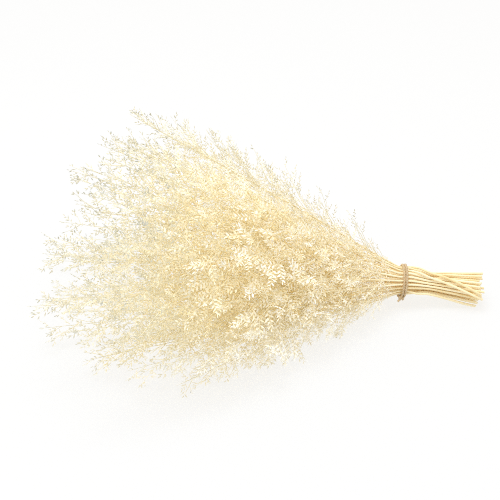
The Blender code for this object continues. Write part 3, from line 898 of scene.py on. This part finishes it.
def grow_stem(number, points, radii, lines, materials):
    """One leafy stem as a piece: its tube, side branches, twigs and leaflets"""
    rng = np.random.default_rng((SEED, number))
    pile = Pile()
    axis, ways = stem_tube(pile, points, radii, rng.uniform(0, 1), rng)
    in_head = axis[:, 0] < -HEAD_FROM
    axis, ways = axis[in_head], ways[in_head]
    branches = grow_branches(pile, axis, ways, lines, rng)
    twigs, greyness = thinned(*stem_twigs(axis, ways, *branches, rng), rng)
    tone = shade_and_tone(twigs.roots, rng)
    add_twigs(pile, twigs, tone, greyness)
    add_leaflets(pile, leaflet_lines(twigs, tone, greyness, rng), rng)
    stem = pile.piece(f"fine_stem_{number:02d}", materials)
    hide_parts(f"leafy_stem_{number:02d}")


def stems_and_lines():
    """Each stem's points and radii with its side branches' points, as in the part"""
    rng = np.random.default_rng(SEED)
    stems = [stem_axis(*place, rng) for place in ring_places()]
    thicket = Thicket()
    for owner, (points, radii, _) in enumerate(stems):
        thicket.add(owner, points, radii)
    for owner, (points, radii, cut) in enumerate(stems):
        yield points, radii, [line for line, _ in branches_of(thicket, owner, points[cut:], rng)]


def carried(ways, first):
    """Unit vectors square to a line, the first carried along it without twist"""
    found = []
    for way in ways:
        first = unit(first - way * (first @ way))
        found.append(first)
    return np.array(found)


def rope(pile, points, rng):
    """Twisted plies along a line, and the loose fibres on them"""
    travelled = distances(points)
    ways = units(np.gradient(points, travelled, axis=0))
    across = carried(ways, ROPE_START)
    above = np.cross(ways, across)
    turns = 2 * math.pi * (travelled / PLY_TURN + np.arange(PLIES)[:, None] / PLIES)[..., None]
    offset = across * np.cos(turns) + above * np.sin(turns)
    axes = points + PLY_OFFSET * offset
    ways = units(np.gradient(axes, axis=1))
    radii = PLY_RADIUS * rng.uniform(*PLY_UNEVEN, axes.shape[:2])
    pile.add(*tubes(axes, ways, radii, PLY_SIDES, offset), rng.uniform(0, 1), 0)
    add_fibres(pile, axes, offset, ways, int(FIBRES_A_METRE * travelled[-1]), rng)


def add_fibres(pile, axes, offset, ways, count, rng):
    """Short loose fibres that stand off the plies"""
    ply, ring = rng.integers(0, axes.shape[0], count), rng.integers(0, axes.shape[1], count)
    out = offset[ply, ring]
    root = axes[ply, ring] + FIBRE_SUNK * PLY_RADIUS * out
    lean = ways[ply, ring] * rng.choice((-1.0, 1.0), (count, 1))
    lean = units(lean + out * rng.uniform(*FIBRE_LEAN, (count, 1)))
    curl = lean + FIBRE_CURL * units(rng.normal(size=out.shape))
    add_strands(pile, root, lean, FIBRE_END * curl, 1.0, rng)


def add_strands(pile, roots, first, last, size, rng):
    """Fibres that set out one way and end up another, both as shares of a fibre's length"""
    lengths = size * rng.uniform(*FIBRE_LENGTH, (len(roots), 1))
    lines = np.stack((roots, roots + 0.5 * lengths * first, roots + lengths * last), axis=1)
    ways = units(np.gradient(lines, axis=1))
    radii = np.broadcast_to(FIBRE_RADII, lines.shape[:2])
    pile.add(*tubes(lines, ways, radii, 3, rng.normal(size=(len(lines), 1, 3))), rng.uniform(0, 1), 0)


def frayed_end(pile, end, way, rng):
    """Fibres that spread from a cut end of the twine"""
    spread = units(way + FRAY_SPREAD * rng.normal(size=(FRAY, 3)))
    root = end - FRAY_SUNK * way + 0.5 * TWINE_RADIUS * units(rng.normal(size=(FRAY, 3)))
    add_strands(pile, root, way, spread, FRAY_SIZE, rng)


def knot_line():
    """Points of the overhand knot, a closed loop that crosses itself three times"""
    middle = around_tie(0, KNOT_ANGLE, tie_radius() + KNOT_LIFT)
    out = unit(middle - around_tie(0, KNOT_ANGLE, 0))
    along_bundle = np.array((1.0, 0.0, 0.0))
    round_bundle = np.cross(out, along_bundle)
    turn = np.linspace(0, 2 * math.pi, KNOT_STEPS + 1)[:, None]
    wide = np.sin(turn) + 2 * np.sin(2 * turn)
    high = np.cos(turn) - 2 * np.cos(2 * turn)
    deep = KNOT_DEEP * np.sin(3 * turn)
    return middle + KNOT_SIZE * (wide * along_bundle + high * round_bundle - deep * out)


def grow_twine(material):
    """The twine as a piece: its turns, the knot and two frayed ends"""
    rng = np.random.default_rng((SEED, 0))
    pile = Pile()
    rope(pile, twine_turns(TURN_STEPS, tie_radius() - PRESS), rng)
    rope(pile, knot_line(), rng)
    for x_end, angle_end, length in TAILS:
        tail = twine_tail(x_end, angle_end, length)
        points, ways = smooth_line(tail, np.linspace(0, distances(tail)[-1], TAIL_STEPS))
        rope(pile, points, rng)
        frayed_end(pile, points[-1], ways[-1], rng)
    twine = pile.piece("jute_twine", [material])
    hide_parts("twine")


class Nodes:
    """A new material, and short calls that add its nodes"""

    def __init__(self, name):
        self.material = bpy.data.materials.new(name)
        self.material.use_nodes = True
        self.tree = self.material.node_tree
        self.tree.nodes.clear()

    def add(self, kind, sockets, **settings):
        """A node with its settings, and its sockets set to values or joined to other nodes"""
        made = self.tree.nodes.new("ShaderNode" + kind)
        for name, value in settings.items():
            setattr(made, name, value)
        for name, value in sockets.items():
            socket = made.inputs[name]
            if isinstance(value, bpy.types.NodeSocket):
                self.tree.links.new(value, socket)
            else:
                socket.default_value = value
        return made

    def read(self, name, output="Fac"):
        """An attribute of the mesh"""
        return self.add("Attribute", {}, attribute_name=name).outputs[output]

    def scaled(self, vector, scale):
        return self.add("VectorMath", {0: vector, 1: scale}, operation="MULTIPLY").outputs[0]

    def noise(self, vector, scale, detail=2.0):
        return self.add("TexNoise", {"Vector": vector, "Scale": scale, "Detail": detail}).outputs["Fac"]

    def streaks(self, along, across, detail=2.0):
        """Noise drawn out along the grain, in waves a metre"""
        return self.noise(self.scaled(self.read("grain", "Vector"), (along, across, across)), 1.0, detail)

    def patches(self, scale, detail=2.0):
        """Noise that goes on from piece to piece, in waves a metre"""
        return self.noise(self.add("TexCoord", {}).outputs["Object"], scale, detail)

    def weighed(self, added, *weighed):
        """A number plus values times their weights, given as (value, weight)"""
        for value, weight in weighed:
            added = self.add("Math", {0: value, 1: weight, 2: added}, operation="MULTIPLY_ADD").outputs[0]
        return added

    def between(self, value, low, high, to_low, to_high):
        """A value's span stretched to another"""
        return self.add("MapRange", {0: value, 1: low, 2: high, 3: to_low, 4: to_high}).outputs[0]

    def colours(self, value, stops):
        """A ramp of colours, given as (place, colour)"""
        made = self.add("ValToRGB", {"Fac": value})
        elements = made.color_ramp.elements
        while len(elements) < len(stops):
            elements.new(0.5)
        for element, (place, colour) in zip(elements, stops):
            element.position, element.color = place, (*colour, 1.0)
        return made.outputs["Color"]

    def mixed(self, share, one, other):
        return self.add("Mix", {0: share, 6: one, 7: other}, data_type="RGBA").outputs[2]

    def greyed(self, colour, grey_colour, most):
        """A colour that turns to another towards the tips and the head's edges"""
        return self.mixed(self.weighed(0.0, (self.read("greyness"), most)), colour, grey_colour)

    def surface(self, colour, pattern, roughness, depth):
        """A shader whose roughness and bumps follow a pattern"""
        bumps = self.add("Bump", {"Height": pattern, "Strength": 1.0, "Distance": depth})
        return self.add("BsdfPrincipled", {
            "Base Color": colour, "Roughness": self.between(pattern, *NOISE_SPAN, *roughness),
            "Normal": bumps.outputs["Normal"]}).outputs[0]

    def done(self, shader):
        out = self.tree.nodes.new("ShaderNodeOutputMaterial")
        self.tree.links.new(shader, out.inputs["Surface"])
        return self.material


def leaflet_material():
    """Leaflets: cream, more golden at the foot, painted golden deep in the head as shade, finely veined, and
    light comes through
    """
    nodes = Nodes("bleached_leaflets")
    veins = nodes.streaks(along=350.0, across=4500.0)
    # tone brings painted shade: leaflets deep in the head are painted golden and darker
    value = nodes.weighed(-0.13, (veins, 0.2), (nodes.patches(16.0), 0.3), (nodes.read("tone"), 0.75))
    blade = nodes.greyed(nodes.colours(value, BLADE), GREY_BLADE, 0.9)
    along_leaflet = nodes.add("SeparateXYZ", {0: nodes.read("grain", "Vector")}).outputs[0]
    colour = nodes.mixed(nodes.between(along_leaflet, 0.0, FOOT_LENGTH, FOOT_SHARE, 0.0), blade, BLADE_FOOT)
    shader = nodes.surface(colour, veins, roughness=(0.42, 0.62), depth=0.00008)
    through = nodes.add("BsdfTranslucent", {"Color": colour}).outputs[0]
    return nodes.done(nodes.add("MixShader", {0: LEAFLET_THROUGH, 1: shader, 2: through}).outputs[0])


def bark_material(name, stops):
    """Bare stems and twigs: straw, streaked along their length, with golden patches"""
    nodes = Nodes(name)
    streaks = nodes.streaks(along=30.0, across=1800.0, detail=3.0)
    patches = nodes.patches(26.0, detail=3.0)
    # tone differs at random on stems; on twigs it also brings painted shade, golden deep in the head
    value = nodes.weighed(-0.18, (streaks, 0.5), (patches, 0.5), (nodes.read("tone"), 0.35))
    colour = nodes.greyed(nodes.colours(value, stops), GREY_BARK, 0.8)
    fine = nodes.streaks(along=260.0, across=5200.0)
    return nodes.done(nodes.surface(colour, fine, roughness=(0.38, 0.58), depth=0.00012))


def cut_material():
    """Cut ends: pale wood round a paler pith, with fine pores"""
    nodes = Nodes("cut_ends")
    flat = nodes.scaled(nodes.read("grain", "Vector"), (0.0, 1.0, 1.0))
    radius = nodes.add("VectorMath", {0: flat}, operation="LENGTH").outputs["Value"]
    pores = nodes.noise(flat, 9000.0)
    value = nodes.weighed(nodes.between(radius, 0.0, STEM_RADIUS, 0.0, 0.6), (pores, 0.5))
    colour = nodes.colours(value, PITH)
    return nodes.done(nodes.surface(colour, pores, roughness=(0.7, 0.9), depth=0.0001))


def jute_material():
    """Jute: tan plies of fine fibres, darker between them"""
    nodes = Nodes("jute")
    strands = nodes.streaks(along=500.0, across=7000.0, detail=3.0)
    value = nodes.weighed(-0.1, (strands, 0.6), (nodes.patches(220.0), 0.4), (nodes.read("tone"), 0.15))
    colour = nodes.colours(value, JUTE)
    return nodes.done(nodes.surface(colour, strands, roughness=(0.75, 0.95), depth=0.0002))


def floor_material():
    nodes = Nodes("white_table")
    roughness = nodes.between(nodes.patches(40.0), *NOISE_SPAN, 0.85, 0.95)
    shader = nodes.add("BsdfPrincipled", {
        "Base Color": FLOOR_COLOUR, "Roughness": roughness, "Specular IOR Level": 0.1,
        "Emission Color": FLOOR_GLOW_COLOUR, "Emission Strength": FLOOR_GLOW})
    return nodes.done(shader.outputs[0])


def set_floor():
    mesh = bpy.data.meshes.new("table")
    corners = [(x * FLOOR_HALF, y * FLOOR_HALF, 0) for x, y in ((-1, -1), (1, -1), (1, 1), (-1, 1))]
    mesh.from_pydata(corners, [], [(0, 1, 2, 3)])
    mesh.materials.append(floor_material())
    table = placed("table", mesh)


def aim(made, place, target):
    """Puts an object at a place, turned towards a target"""
    made.location = place
    made.rotation_euler = (Vector(target) - Vector(place)).to_track_quat("-Z", "Y").to_euler()


def set_light():
    """Soft daylight from all round, and one large soft lamp above"""
    scene = bpy.context.scene
    scene.world = bpy.data.worlds.new("soft_light")
    scene.world.use_nodes = True
    background = scene.world.node_tree.nodes["Background"].inputs
    background["Color"].default_value = WORLD_COLOUR
    background["Strength"].default_value = WORLD_STRENGTH
    lamp = bpy.data.lights.new("softbox", "AREA")
    lamp.size = LAMP_SIZE
    lamp.energy = LAMP_ENERGY
    aim(placed("softbox", lamp), LAMP_PLACE, LAMP_TARGET)
    scene.view_settings.view_transform = "Standard"
    for name, value in LIGHT_PATHS.items():
        setattr(scene.cycles, name, value)


def set_camera():
    lens = bpy.data.cameras.new("camera")
    lens.lens = CAMERA_LENS
    camera = placed("camera", lens)
    back = Vector((0.0, -math.cos(CAMERA_ELEVATION), math.sin(CAMERA_ELEVATION)))
    aim(camera, Vector(CAMERA_TARGET) + back * CAMERA_DISTANCE, CAMERA_TARGET)
    bpy.context.scene.camera = camera


def main():
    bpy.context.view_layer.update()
    materials = [
        leaflet_material(), bark_material("bleached_bark", STRAW), cut_material(),
        bark_material("bleached_twigs", PALE)]
    for number, (points, radii, lines) in enumerate(stems_and_lines(), 1):
        grow_stem(number, points, radii, lines, materials)
    grow_twine(jute_material())
    set_floor()
    set_light()
    set_camera()


main()
